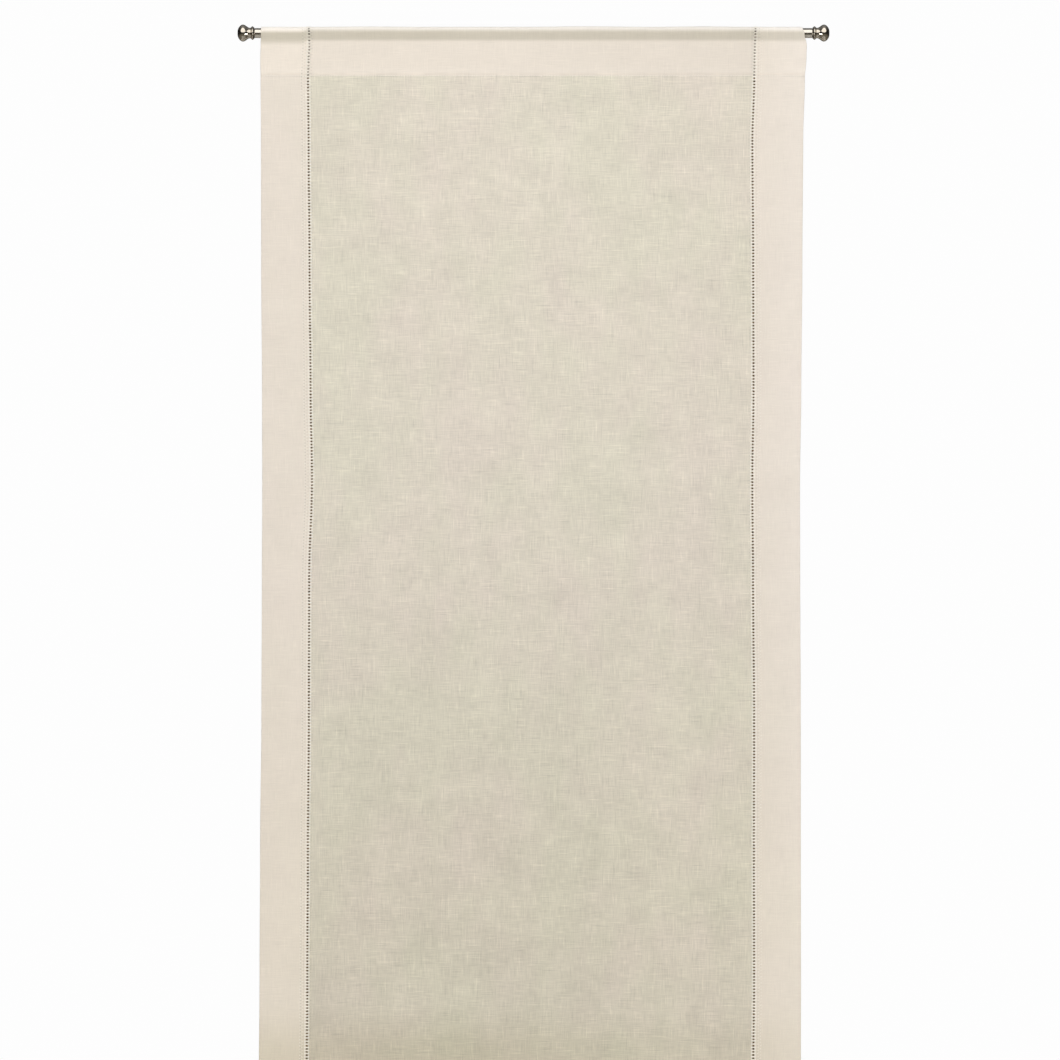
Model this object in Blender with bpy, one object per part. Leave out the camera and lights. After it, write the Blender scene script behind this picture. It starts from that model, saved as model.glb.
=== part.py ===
"""Cafe curtain on a rod: a flat linen panel hung by its rod pocket, with doubled side bands.

The rod's axis runs along X through the origin, at the middle of the rod. +Z is up and the curtain's
front faces -Y. Lengths are metres. The curtain is one closed solid: the panel, the pocket round the
rod, the doubled side bands and the bottom hem are all the same piece of cloth.
"""

import math

import bmesh
import bpy

# Rod and finials: a 7/16 inch rod with a turned knob at each end.
ROD_RADIUS = 0.00555
ROD_HALF_LENGTH = 0.3120
ROD_SIDES = 32
METAL_GAP = 0.0003
MERGE_DISTANCE = 0.000001
SHARP_ANGLE = math.radians(40.0)

# The knob's turned profile: radii, and distances out from the face that meets the rod.
COLLAR_RADIUS = 0.0076
COLLAR_AT = 0.0020
COLLAR_EDGE = 0.0008
NECK_RADIUS = 0.0058
NECK_AT = 0.0053
KNOB_RADIUS = 0.0095
KNOB_WIDEST_AT = 0.0125
KNOB_LENGTH = 0.0188
END_FACE_RADIUS = 0.0042
FLARE_STEPS = 6
ROUND_STEPS = 5

# Cloth: one layer, and what a turned hem adds behind it. The front stays flush across the hems.
CLOTH = 0.0010
HEM_ADDS = 0.0005
HEMMED = CLOTH + HEM_ADDS
ROD_CLEARANCE = 0.0003

# Heights, measured down from the rod's axis.
SEAM = 0.0480
BACK_LAYER_END = 0.0510
CURTAIN_DROP = 1.2190
HEM_DEPTH = 0.0510
STEP_RUN = 0.0015

# Pocket section, and the plane of the panel's front face.
POCKET_OUTER = ROD_RADIUS + ROD_CLEARANCE + HEMMED
FRONT_FACE = -HEMMED
ARC_STEPS = 12
POCKET_ROWS = 4
ROW_PITCH = 0.026
CENTRE_COLUMNS = 8

# The curtain's edges and its two hemstitch lines, as distances from the middle of the rod.
# below is the height under the rod's axis; above zero it is on the cloth that wraps the rod.
EDGE_COLUMNS = ("below", "left_edge", "left_line", "right_line", "right_edge")
EDGES = (
    (-0.007, -0.3046, -0.2513, 0.2484, 0.3006),
    (0.002, -0.3047, -0.2508, 0.2480, 0.3030),
    (0.014, -0.3050, -0.2506, 0.2475, 0.3056),
    (0.030, -0.3056, -0.2515, 0.2472, 0.3052),
    (0.050, -0.3053, -0.2523, 0.2470, 0.3036),
    (0.120, -0.3048, -0.2516, 0.2449, 0.3017),
    (0.260, -0.3046, -0.2506, 0.2458, 0.3008),
    (0.400, -0.3037, -0.2494, 0.2462, 0.2996),
    (0.500, -0.3034, -0.2478, 0.2448, 0.2982),
    (0.610, -0.3038, -0.2510, 0.2456, 0.2984),
    (0.760, -0.3043, -0.2513, 0.2468, 0.2991),
    (0.920, -0.3058, -0.2524, 0.2466, 0.2992),
    (1.060, -0.3064, -0.2531, 0.2468, 0.2994),
    (1.212, -0.3076, -0.2540, 0.2452, 0.2992),
)

# Soft level folds across a side band: which band, height under the rod's axis, half height, depth.
# A positive depth stands out to the front.
BAND_MIDDLE = {"left": -0.278, "right": 0.274}
FOLD_REACH = 0.060
FOLDS = (
    ("left", 0.095, 0.040, 0.0008),
    ("left", 0.180, 0.045, 0.0010),
    ("left", 0.285, 0.030, -0.0010),
    ("left", 0.330, 0.030, 0.0010),
    ("left", 0.410, 0.026, -0.0012),
    ("left", 0.500, 0.028, 0.0013),
    ("left", 0.548, 0.026, -0.0009),
    ("left", 0.625, 0.045, 0.0010),
    ("left", 0.790, 0.035, -0.0012),
    ("left", 0.850, 0.030, 0.0009),
    ("left", 0.950, 0.028, -0.0012),
    ("left", 1.000, 0.028, 0.0010),
    ("left", 1.060, 0.026, -0.0011),
    ("left", 1.130, 0.030, 0.0010),
    ("right", 0.100, 0.035, 0.0010),
    ("right", 0.275, 0.030, -0.0008),
    ("right", 0.390, 0.030, -0.0010),
    ("right", 0.490, 0.024, 0.0013),
    ("right", 0.525, 0.024, -0.0012),
    ("right", 0.635, 0.035, 0.0012),
    ("right", 0.680, 0.026, -0.0009),
    ("right", 0.800, 0.040, 0.0010),
    ("right", 0.935, 0.030, -0.0012),
    ("right", 0.985, 0.028, 0.0013),
    ("right", 1.030, 0.026, -0.0011),
    ("right", 1.075, 0.026, 0.0013),
    ("right", 1.130, 0.030, -0.0010),
)

# Broad upright swells of the hanging panel: middle across, half width, depth at the bottom edge.
SWELLS = (
    (-0.285, 0.060, 0.0028),
    (-0.180, 0.080, -0.0024),
    (-0.045, 0.090, 0.0022),
    (0.095, 0.080, -0.0020),
    (0.200, 0.060, 0.0018),
    (0.292, 0.050, -0.0026),
)
SWELL_STARTS = 0.060

COLOURS = {
    "linen": ((0.72, 0.66, 0.55, 1.0), 0.90, 0.0),
    "rod_metal": ((0.16, 0.14, 0.12, 1.0), 0.22, 1.0),
    "finial_metal": ((0.12, 0.10, 0.09, 1.0), 0.18, 1.0),
}


def clear_scene():
    for thing in list(bpy.data.objects):
        bpy.data.objects.remove(thing, do_unlink=True)


def make_material(name):
    colour, roughness, metallic = COLOURS[name]
    material = bpy.data.materials.new(name)
    material.use_nodes = True
    shader = material.node_tree.nodes["Principled BSDF"]
    shader.inputs["Base Color"].default_value = colour
    shader.inputs["Roughness"].default_value = roughness
    shader.inputs["Metallic"].default_value = metallic
    material.diffuse_color = colour
    return material


def finish_object(name, shape, material_name):
    """Turn a bmesh into a smooth-shaded object in the scene."""
    data = bpy.data.meshes.new(name)
    shape.to_mesh(data)
    shape.free()
    data.shade_smooth()
    data.set_sharp_from_angle(angle=SHARP_ANGLE)
    data.materials.append(make_material(material_name))
    thing = bpy.data.objects.new(name, data)
    bpy.context.collection.objects.link(thing)
    return thing


def smooth_step(t):
    t = min(max(t, 0.0), 1.0)
    return t * t * (3.0 - 2.0 * t)


def soft_bump(distance, half_width):
    """1 at the middle, 0 beyond the half width, with no corner anywhere."""
    return smooth_step(1.0 - abs(distance) / half_width)


def edge_at(column, below):
    """One outline column read from EDGES at a height under the rod, eased between its rows."""
    at = EDGE_COLUMNS.index(column)
    if below <= EDGES[0][0]:
        return EDGES[0][at]
    for low, high in zip(EDGES[:-1], EDGES[1:]):
        if below <= high[0]:
            share = smooth_step((below - low[0]) / (high[0] - low[0]))
            return low[at] + (high[at] - low[at]) * share
    return EDGES[-1][at]


def across(column, below):
    """How far across a column of the cloth lies at this height: (from line, to line, share)."""
    start, end, share = column
    low = edge_at(start, below)
    high = edge_at(end, below)
    return low + (high - low) * share


def cloth_columns():
    """The columns across the cloth, left to right, each with how thick the cloth is there."""
    columns = [(("left_edge", "left_line", share), HEMMED) for share in (0.0, 0.5, 0.97)]
    for index in range(CENTRE_COLUMNS + 1):
        columns.append((("left_line", "right_line", index / CENTRE_COLUMNS), CLOTH))
    columns += [(("right_line", "right_edge", share), HEMMED) for share in (0.03, 0.5, 1.0)]
    return columns


def fold_offset(x, below):
    """How far the hanging cloth stands to the front of its plane, from its folds and swells."""
    offset = 0.0
    for side, height, half_height, depth in FOLDS:
        reach = soft_bump(x - BAND_MIDDLE[side], FOLD_REACH)
        offset += depth * reach * soft_bump(below - height, half_height)
    hang = smooth_step((below - SWELL_STARTS) / (CURTAIN_DROP - SWELL_STARTS))
    for middle, half_width, depth in SWELLS:
        offset += depth * hang * soft_bump(x - middle, half_width)
    return offset


def panel_rows():
    """Heights under the rod's axis from the seam to the bottom edge, with the hem's step."""
    bottom = CURTAIN_DROP - POCKET_OUTER
    hem_top = bottom - HEM_DEPTH
    rows = [BACK_LAYER_END, BACK_LAYER_END + STEP_RUN]
    count = round((hem_top - rows[-1]) / ROW_PITCH)
    pitch = (hem_top - rows[-1]) / count
    rows += [rows[-1] + pitch * step for step in range(1, count + 1)]
    rows += [hem_top + STEP_RUN, (hem_top + bottom) / 2.0, bottom]
    return rows, hem_top


def panel_back(below, layer, hem_top):
    """Thickness behind the panel's front face at this height."""
    if below <= BACK_LAYER_END:
        return 2.0 * layer
    if below > hem_top:
        return layer + HEM_ADDS
    return layer


def touch_angle(outwards, radius):
    """How far under level a straight run up from the seam meets the circle round the rod.

    outwards is how far the run's foot lies to its own side of the rod's axis.
    """
    return math.asin(radius / math.hypot(outwards, SEAM)) - math.atan2(outwards, SEAM)


def straight_run(start, end):
    """POCKET_ROWS points from start towards end, which is left out."""
    shares = [step / POCKET_ROWS for step in range(POCKET_ROWS)]
    return [tuple(a + (b - a) * share for a, b in zip(start, end)) for share in shares]


def layer_path(radius, front_foot, back_foot):
    """One face of the pocket as (y, below): up from the front foot, round the rod, down the back."""
    front_touch = touch_angle(-front_foot, radius)
    back_touch = touch_angle(back_foot, radius)
    arc = []
    for step in range(ARC_STEPS + 1):
        angle = -front_touch + (math.pi + front_touch + back_touch) * step / ARC_STEPS
        arc.append((-radius * math.cos(angle), -radius * math.sin(angle)))
    up = straight_run((front_foot, SEAM), arc[0])
    down = straight_run((back_foot, SEAM), arc[-1])
    return up + arc + down[::-1]


def pocket_faces(layer):
    """The pocket's outer and inner face. Both layers meet in one line at the seam."""
    split = FRONT_FACE + layer
    outer = layer_path(POCKET_OUTER, FRONT_FACE, split + layer)
    inner = layer_path(POCKET_OUTER - layer, split, split)
    return outer, inner


def join_loops(mesh, loop_a, loop_b):
    """Quads between two closed loops of the same length."""
    for index in range(len(loop_a)):
        after = (index + 1) % len(loop_a)
        mesh.faces.new((loop_a[index], loop_a[after], loop_b[after], loop_b[index]))


def cap_side(mesh, front, outer, back, inner):
    """Close the cloth's side edge: the pocket's ring, the seam, then the panel."""
    ring = inner + [inner[0]]
    for index in range(len(outer) - 1):
        mesh.faces.new((outer[index], outer[index + 1], ring[index + 1], ring[index]))
    mesh.faces.new((front[-1], outer[0], inner[0], outer[-1], back[0]))
    for index in range(len(back) - 1):
        mesh.faces.new((back[index], back[index + 1], front[-2 - index], front[-1 - index]))


def build_curtain():
    rows, hem_top = panel_rows()
    mesh = bmesh.new()
    sections = []
    for column, layer in cloth_columns():
        outer_path, inner_path = pocket_faces(layer)

        def place(y, below):
            shift = fold_offset(across(column, below), below) * smooth_step((below - SEAM) / SEAM)
            return mesh.verts.new((across(column, below), y - shift, -below))

        front = [place(FRONT_FACE, below) for below in reversed(rows)]
        back = [place(FRONT_FACE + panel_back(below, layer, hem_top), below) for below in rows]
        outer = [place(y, below) for y, below in outer_path]
        inner = [place(y, below) for y, below in inner_path[:-1]]
        sections.append((front, outer, back, inner))

    for (front_a, outer_a, back_a, inner_a), (front_b, outer_b, back_b, inner_b) in zip(
        sections[:-1], sections[1:]
    ):
        join_loops(mesh, front_a + outer_a + back_a, front_b + outer_b + back_b)
        join_loops(mesh, inner_b, inner_a)
    cap_side(mesh, *sections[0])
    cap_side(mesh, *sections[-1])

    bmesh.ops.recalc_face_normals(mesh, faces=mesh.faces)
    finish_object("curtain", mesh, "linen")


def build_rod():
    mesh = bmesh.new()
    bmesh.ops.create_cone(
        mesh,
        cap_ends=True,
        segments=ROD_SIDES,
        radius1=ROD_RADIUS,
        radius2=ROD_RADIUS,
        depth=2.0 * ROD_HALF_LENGTH,
    )
    rod = finish_object("rod", mesh, "rod_metal")
    rod.rotation_euler = (0.0, math.pi / 2.0, 0.0)


def knob_profile():
    """(outwards, radius) from the rod's end to the knob's flat end face."""
    shoulder = COLLAR_RADIUS - COLLAR_EDGE / 2.0
    points = [
        (0.0, 0.0),
        (0.0, ROD_RADIUS + COLLAR_EDGE),
        (COLLAR_AT - COLLAR_EDGE, shoulder),
        (COLLAR_AT, COLLAR_RADIUS),
        (COLLAR_AT + COLLAR_EDGE, shoulder),
    ]
    for step in range(FLARE_STEPS + 1):
        share = step / FLARE_STEPS
        outwards = NECK_AT + (KNOB_WIDEST_AT - NECK_AT) * share
        points.append((outwards, NECK_RADIUS + (KNOB_RADIUS - NECK_RADIUS) * smooth_step(share)))
    for step in range(1, ROUND_STEPS + 1):
        angle = math.pi / 2.0 * step / ROUND_STEPS
        outwards = KNOB_WIDEST_AT + (KNOB_LENGTH - KNOB_WIDEST_AT) * math.sin(angle)
        points.append((outwards, END_FACE_RADIUS + (KNOB_RADIUS - END_FACE_RADIUS) * math.cos(angle)))
    points.append((KNOB_LENGTH, 0.0))
    return points


def build_finial(name, direction):
    """The knob is turned about X, starting just clear of the rod's end."""
    start = ROD_HALF_LENGTH + METAL_GAP
    mesh = bmesh.new()
    profile = []
    for outwards, radius in knob_profile():
        profile.append(mesh.verts.new((direction * (start + outwards), 0.0, radius)))
    edges = [mesh.edges.new(pair) for pair in zip(profile[:-1], profile[1:])]
    bmesh.ops.spin(
        mesh,
        geom=profile + edges,
        cent=(0.0, 0.0, 0.0),
        axis=(1.0, 0.0, 0.0),
        angle=2.0 * math.pi,
        steps=ROD_SIDES,
        use_merge=True,
    )
    bmesh.ops.remove_doubles(mesh, verts=mesh.verts, dist=MERGE_DISTANCE)
    bmesh.ops.recalc_face_normals(mesh, faces=mesh.faces)
    finish_object(name, mesh, "finial_metal")


clear_scene()
build_rod()
build_finial("finial_left", -1.0)
build_finial("finial_right", 1.0)
build_curtain()
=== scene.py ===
"""Looks for the cafe curtain: plain linen with hemstitched side bands, hung on a slim dark rod.

The linen is one hung sheet. s runs along the cloth: 0 at the pocket's seam, positive up the front of
the pocket, over the rod and down its back, negative down the hanging panel. Lengths are metres.
"""

import math
import random

import bpy
import numpy as np
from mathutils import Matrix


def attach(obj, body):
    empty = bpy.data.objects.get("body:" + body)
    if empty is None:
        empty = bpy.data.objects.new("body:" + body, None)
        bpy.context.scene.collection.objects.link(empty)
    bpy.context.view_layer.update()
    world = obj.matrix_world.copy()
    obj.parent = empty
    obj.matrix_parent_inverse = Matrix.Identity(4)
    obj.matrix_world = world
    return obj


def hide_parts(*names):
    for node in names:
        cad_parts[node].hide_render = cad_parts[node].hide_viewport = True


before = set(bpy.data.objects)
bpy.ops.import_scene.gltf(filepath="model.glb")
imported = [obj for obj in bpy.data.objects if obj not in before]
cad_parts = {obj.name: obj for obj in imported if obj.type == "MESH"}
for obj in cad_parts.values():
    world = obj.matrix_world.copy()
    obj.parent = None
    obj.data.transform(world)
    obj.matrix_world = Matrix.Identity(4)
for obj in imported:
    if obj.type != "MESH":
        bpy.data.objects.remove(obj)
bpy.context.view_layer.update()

# Metal: the same sizes as the CAD model.
ROD_RADIUS = 0.00555
ROD_HALF_LENGTH = 0.3120
ROD_SIDES = 64
ROD_END_EDGE = 0.0004
METAL_GAP = 0.0003

# The finial's turned profile: (out from the face on the rod's end, radius).
FINIAL_PROFILE = (
    (0.00000, 0.00595),
    (0.00030, 0.00640),
    (0.00090, 0.00688),
    (0.00140, 0.00728),
    (0.00180, 0.00754),
    (0.00210, 0.00760),
    (0.00240, 0.00752),
    (0.00285, 0.00718),
    (0.00340, 0.00664),
    (0.00380, 0.00618),
    (0.00400, 0.00592),
    (0.00425, 0.00588),
    (0.00440, 0.00602),
    (0.00480, 0.00592),
    (0.00530, 0.00586),
    (0.00600, 0.00600),
    (0.00680, 0.00636),
    (0.00770, 0.00690),
    (0.00860, 0.00755),
    (0.00950, 0.00822),
    (0.01040, 0.00882),
    (0.01130, 0.00926),
    (0.01220, 0.00948),
    (0.01300, 0.00949),
    (0.01380, 0.00932),
    (0.01460, 0.00898),
    (0.01540, 0.00845),
    (0.01620, 0.00773),
    (0.01700, 0.00678),
    (0.01765, 0.00575),
    (0.01815, 0.00470),
    (0.01850, 0.00355),
    (0.01870, 0.00225),
    (0.01879, 0.00090),
)

# Cloth: one layer of linen, a side band with its hem turned behind it, what the bottom hem adds, and
# the gaps round the rod and between the pocket's seamed layers.
LINEN = 0.0006
HEMMED = 0.0011
HEM_ADDS = 0.0005
ROD_CLEARANCE = 0.0003
LAYER_GAP = 0.0001

# How far forward the hanging face lies, and the radius of the pocket's face round the rod.
FRONT_FACE = -0.0015
POCKET_OUTER = ROD_RADIUS + ROD_CLEARANCE + HEMMED

# Heights, measured down from the rod's axis.
SEAM = 0.0480
BACK_LAYER_END = 0.0510
CURTAIN_DROP = 1.2190
HEM_DEPTH = 0.0510
BOTTOM = 1.21165
BOTTOM_S = SEAM - BOTTOM
HEM_TOP_S = BOTTOM_S + HEM_DEPTH

# The curtain's edges and its two hemstitch lines, as distances from the middle of the rod.
EDGE_COLUMNS = ("below", "left_edge", "left_line", "right_line", "right_edge")
EDGES = np.array(
    (
        (-0.007, -0.3046, -0.2513, 0.2484, 0.3006),
        (0.002, -0.3047, -0.2508, 0.2480, 0.3030),
        (0.014, -0.3050, -0.2506, 0.2475, 0.3056),
        (0.030, -0.3056, -0.2515, 0.2472, 0.3052),
        (0.050, -0.3053, -0.2523, 0.2470, 0.3036),
        (0.120, -0.3048, -0.2516, 0.2449, 0.3017),
        (0.260, -0.3046, -0.2506, 0.2458, 0.3008),
        (0.400, -0.3037, -0.2494, 0.2462, 0.2996),
        (0.500, -0.3034, -0.2478, 0.2448, 0.2982),
        (0.610, -0.3038, -0.2510, 0.2456, 0.2984),
        (0.760, -0.3043, -0.2513, 0.2468, 0.2991),
        (0.920, -0.3058, -0.2524, 0.2466, 0.2992),
        (1.060, -0.3064, -0.2531, 0.2468, 0.2994),
        (1.212, -0.3076, -0.2540, 0.2452, 0.2992),
    )
)
LINE_TO_LINE = 0.4974
HALF_LINES = LINE_TO_LINE / 2.0

# Soft level folds across a side band: which band, height under the rod's axis, half height, depth.
BAND_MIDDLE = {"left": -0.278, "right": 0.274}
FOLD_REACH = 0.060
FOLDS = (
    ("left", 0.095, 0.040, 0.0008),
    ("left", 0.180, 0.045, 0.0010),
    ("left", 0.285, 0.030, -0.0010),
    ("left", 0.330, 0.030, 0.0010),
    ("left", 0.410, 0.026, -0.0012),
    ("left", 0.500, 0.028, 0.0013),
    ("left", 0.548, 0.026, -0.0009),
    ("left", 0.625, 0.045, 0.0010),
    ("left", 0.790, 0.035, -0.0012),
    ("left", 0.850, 0.030, 0.0009),
    ("left", 0.950, 0.028, -0.0012),
    ("left", 1.000, 0.028, 0.0010),
    ("left", 1.060, 0.026, -0.0011),
    ("left", 1.130, 0.030, 0.0010),
    ("right", 0.100, 0.035, 0.0010),
    ("right", 0.275, 0.030, -0.0008),
    ("right", 0.390, 0.030, -0.0010),
    ("right", 0.490, 0.024, 0.0013),
    ("right", 0.525, 0.024, -0.0012),
    ("right", 0.635, 0.035, 0.0012),
    ("right", 0.680, 0.026, -0.0009),
    ("right", 0.800, 0.040, 0.0010),
    ("right", 0.935, 0.030, -0.0012),
    ("right", 0.985, 0.028, 0.0013),
    ("right", 1.030, 0.026, -0.0011),
    ("right", 1.075, 0.026, 0.0013),
    ("right", 1.130, 0.030, -0.0010),
)

# Broad upright swells of the hanging panel: middle across, half width, depth at the bottom edge.
SWELLS = (
    (-0.285, 0.060, 0.0028),
    (-0.180, 0.080, -0.0024),
    (-0.045, 0.090, 0.0022),
    (0.095, 0.080, -0.0020),
    (0.200, 0.060, 0.0018),
    (0.292, 0.050, -0.0026),
)
SWELL_STARTS = 0.060

# Where the cloth stands a little off the top of the rod: middle across, half width, height.
LIFTS = (
    (-0.185, 0.060, 0.0004),
    (0.060, 0.070, 0.0006),
    (0.190, 0.060, 0.0005),
)
LIFT_REACH = 0.013

# Sewing relief: a dent along each line of stitching (half width, depth), the roll above the front
# seam (height above it, half height, depth), and small puckers (wave length, phase, depth).
DENT = (0.0025, 0.00025)
ROLL = (0.0040, 0.0045, 0.00035)
PUCKERS = ((0.0190, 1.3, 0.00012), (0.0133, 0.4, 0.00008))
PUCKER_REACH = 0.028

# Hemstitch: a row of small holes with wrapped rungs between them.
OPENWORK_HALF = 0.0025
HOLE_PITCH = 0.0035
HOLE_HALF_WIDTH = 0.00117
HOLE_HALF_HEIGHT = 0.00103
HOLE_POINTS = 12
RUNG_REACH = 0.0021

# Each hole's own size and lean vary between these, and its place by this share of a pitch.
HOLE_WIDTHS = (0.88, 1.10)
HOLE_HEIGHTS = (0.86, 1.12)
HOLE_LEANS = (-0.20, 0.20)
HOLE_WANDER = 0.06

# A hole's wall, in shares of the cloth's thickness: it begins, is closed by a face of painted shade, and
# ends.
# The rim's rings lie RIM_SHARE of the way in to the hole, and RING_PAIRS are the rings that a band of
# faces joins, as openwork_strip numbers them.
HOLE_LIP = 0.20
HOLE_FLOOR = 0.55
HOLE_FOOT = 0.80
RIM_SHARE = 0.6
RING_PAIRS = ((3, 5), (0, 3), (1, 0), (2, 1), (4, 2), (6, 4))

# Threads beside a hemstitch line: (metres towards the hem, metres proud of the face).
RUNG_AT = (0.0002, -0.00015)
KNOT_AT = (0.00235, 0.00008)
SCALLOP_AT = (0.00205, 0.00006)
RUNNING_AT = (-0.00200, 0.00004)
INNER_PICK = 0.0053
OUTER_PICK = 0.0079
PICK_PROUD = 0.00006

# Machine stitching: its pitch, how far in from the curtain's edges it stops, how far under the
# bottom hem's top it runs, and how proud it lies.
SEAM_STITCH_PITCH = 0.0029
SEAM_INSET = 0.0030
HEM_STITCH_BELOW = 0.0015
SEAM_PROUD = 0.00006

# The cloth's grid of points, and how a folded edge fills out: (in from it, share of its thickness).
PANEL_COLUMNS = 66
BAND_COLUMNS = 11
PANEL_ROWS = 166
ARC_STEPS = 48
SIDE_STEPS = 24
FOLDED_EDGE = ((0.0, 0.15), (0.00015, 0.55), (0.0004, 0.85), (0.0008, 1.0))

# Rows of points near the sewing, and the steps between rows in the pocket and over the rod.
ROW_CLEARANCE = 0.004
HEM_RISE = 0.0010
HEM_ROWS = (-0.0035, -0.0022, -0.0012, -0.0006, 0.0, 0.0012, 0.0028)
SEAM_ROWS = (-0.0040, -0.0025, -0.0012, 0.0, 0.0012, 0.0025, 0.0040, 0.0060, 0.0085)
BACK_SEAM_ROWS = (-0.0025, -0.0012, 0.0, 0.0012)
POCKET_STEP = 0.0030
CREST_STEP = 0.0011


# ---------------------------------------------------------------- the hung cloth


def smooth_step(t):
    t = np.clip(t, 0.0, 1.0)
    return t * t * (3.0 - 2.0 * t)


def soft_bump(distance, half_width):
    """1 at the middle, 0 beyond the half width, with no corner anywhere."""
    return smooth_step(1.0 - np.abs(distance) / half_width)


def edge_at(column, below):
    """One outline column read from EDGES at heights under the rod, eased between its rows."""
    below = np.asarray(below, float)
    row = np.clip(np.searchsorted(EDGES[:, 0], below) - 1, 0, len(EDGES) - 2)
    low, high = EDGES[row], EDGES[row + 1]
    share = smooth_step((below - low[..., 0]) / (high[..., 0] - low[..., 0]))
    at = EDGE_COLUMNS.index(column)
    return low[..., at] + (high[..., at] - low[..., at]) * share


def fold_offset(x, below):
    """How far the hanging cloth stands to the front of its plane, from its folds and swells."""
    offset = 0.0
    for side, height, half_height, depth in FOLDS:
        reach = soft_bump(x - BAND_MIDDLE[side], FOLD_REACH)
        offset = offset + depth * reach * soft_bump(below - height, half_height)
    hang = smooth_step((below - SWELL_STARTS) / (CURTAIN_DROP - SWELL_STARTS))
    for middle, half_width, depth in SWELLS:
        offset = offset + depth * hang * soft_bump(x - middle, half_width)
    return offset


def touch_angle(outwards, radius):
    """How far under level a straight run up from the seam meets the circle round the rod."""
    return math.asin(radius / math.hypot(outwards, SEAM)) - math.atan2(outwards, SEAM)


def pocket_section(layer):
    """The outer face of the pocket as rows of (y, below), up the front, round the rod, down the back."""
    back_foot = FRONT_FACE + 2.0 * layer + LAYER_GAP
    front_touch = touch_angle(-FRONT_FACE, POCKET_OUTER)
    back_touch = touch_angle(back_foot, POCKET_OUTER)
    angle = np.linspace(-front_touch, math.pi + back_touch, ARC_STEPS)
    arc = np.stack([-POCKET_OUTER * np.cos(angle), -POCKET_OUTER * np.sin(angle)], 1)
    share = np.linspace(0.0, 1.0, SIDE_STEPS, endpoint=False)[:, None]
    front = np.array((FRONT_FACE, SEAM)) * (1.0 - share) + arc[0] * share
    back = arc[-1] * (1.0 - share) + np.array((back_foot, SEAM)) * share
    tail = np.array(((back_foot, SEAM), (back_foot, BACK_LAYER_END)))
    return np.concatenate([front, arc, back[1:], tail])


SECTIONS = [pocket_section(LINEN), pocket_section(HEMMED)]
RUN = np.concatenate([[0.0], np.cumsum(np.hypot(*np.diff(SECTIONS[0], axis=0).T))])
ROD_TOP_S = float(RUN[np.argmin(SECTIONS[0][:, 1])])
END_S = float(RUN[-1])
BACK_SEAM_S = END_S - (BACK_LAYER_END - SEAM)
HOLE_COUNT = round((END_S - BOTTOM_S) / HOLE_PITCH)
HOLE_STEP = (END_S - BOTTOM_S) / HOLE_COUNT


def section_columns(section):
    """A section's y, its height under the rod and the way its face looks, for each step of RUN."""
    slope = np.gradient(section, RUN, axis=0)
    slope /= np.hypot(slope[:, 0], slope[:, 1])[:, None]
    return np.stack([section[:, 0], section[:, 1], slope[:, 1], slope[:, 0]])


SECTION_COLUMNS = [section_columns(section) for section in SECTIONS]


def on_section(s, doubled):
    """The undisturbed cloth at s: its y, its height under the rod, and the way its face looks."""
    single, hemmed = ([np.interp(s, RUN, column) for column in columns] for columns in SECTION_COLUMNS)
    y, below, face_y, face_z = (a + (b - a) * doubled for a, b in zip(single, hemmed))
    hanging = s < 0.0
    below = below - np.minimum(s, 0.0)
    return y, below, np.where(hanging, -1.0, face_y), np.where(hanging, 0.0, face_z)


def sewn_relief(x, s):
    """How proud the face stands from its sewing and the rod: dents, a roll, puckers and lifts."""
    dent_half, dent = DENT
    roll_at, roll_half, roll = ROLL
    relief = roll * soft_bump(s - roll_at, roll_half)
    for line in (0.0, BACK_SEAM_S, HEM_TOP_S):
        relief = relief - dent * soft_bump(s - line, dent_half)
        for wave, phase, height in PUCKERS:
            ripple = height * np.sin(2.0 * math.pi * x / wave + phase + line)
            relief = relief + ripple * soft_bump(s - line, PUCKER_REACH)
    over_rod = soft_bump(s - ROD_TOP_S, LIFT_REACH)
    for middle, half_width, height in LIFTS:
        relief = relief + height * soft_bump(x - middle, half_width) * over_rod
    return relief


def lay(x, s, out, doubled):
    """Points on the hung cloth: x across it, s along it, out proud of its face."""
    y, below, face_y, face_z = on_section(s, doubled)
    forward = fold_offset(x, below) * smooth_step((below - SEAM) / SEAM)
    proud = out + sewn_relief(x, s)
    return np.stack([x, y - forward + face_y * proud, -below + face_z * proud], -1)


def cloth_thickness(s, doubled):
    hem = smooth_step((HEM_TOP_S - s) / HEM_RISE)
    return LINEN + (HEMMED - LINEN) * doubled + HEM_ADDS * hem


def cloth_rows():
    """Every s where the cloth has a row of points, and how full its thickness is there."""
    rounding = [(BOTTOM_S + reach, full) for reach, full in FOLDED_EDGE]
    rounding += [(END_S - reach, full) for reach, full in FOLDED_EDGE]
    plain = list(np.linspace(BOTTOM_S + ROW_CLEARANCE, -0.006, PANEL_ROWS))
    plain = [s for s in plain if abs(s - HEM_TOP_S) > ROW_CLEARANCE]
    plain += [HEM_TOP_S + step for step in HEM_ROWS]
    plain += SEAM_ROWS
    plain += list(np.arange(0.0115, ROD_TOP_S - 0.014, POCKET_STEP))
    plain += list(np.arange(ROD_TOP_S - 0.0125, ROD_TOP_S + 0.0135, CREST_STEP))
    plain += list(np.arange(ROD_TOP_S + 0.0150, BACK_SEAM_S - ROW_CLEARANCE, POCKET_STEP))
    plain += [BACK_SEAM_S + step for step in BACK_SEAM_ROWS]
    return sorted(rounding + [(float(s), 1.0) for s in plain])


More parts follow.
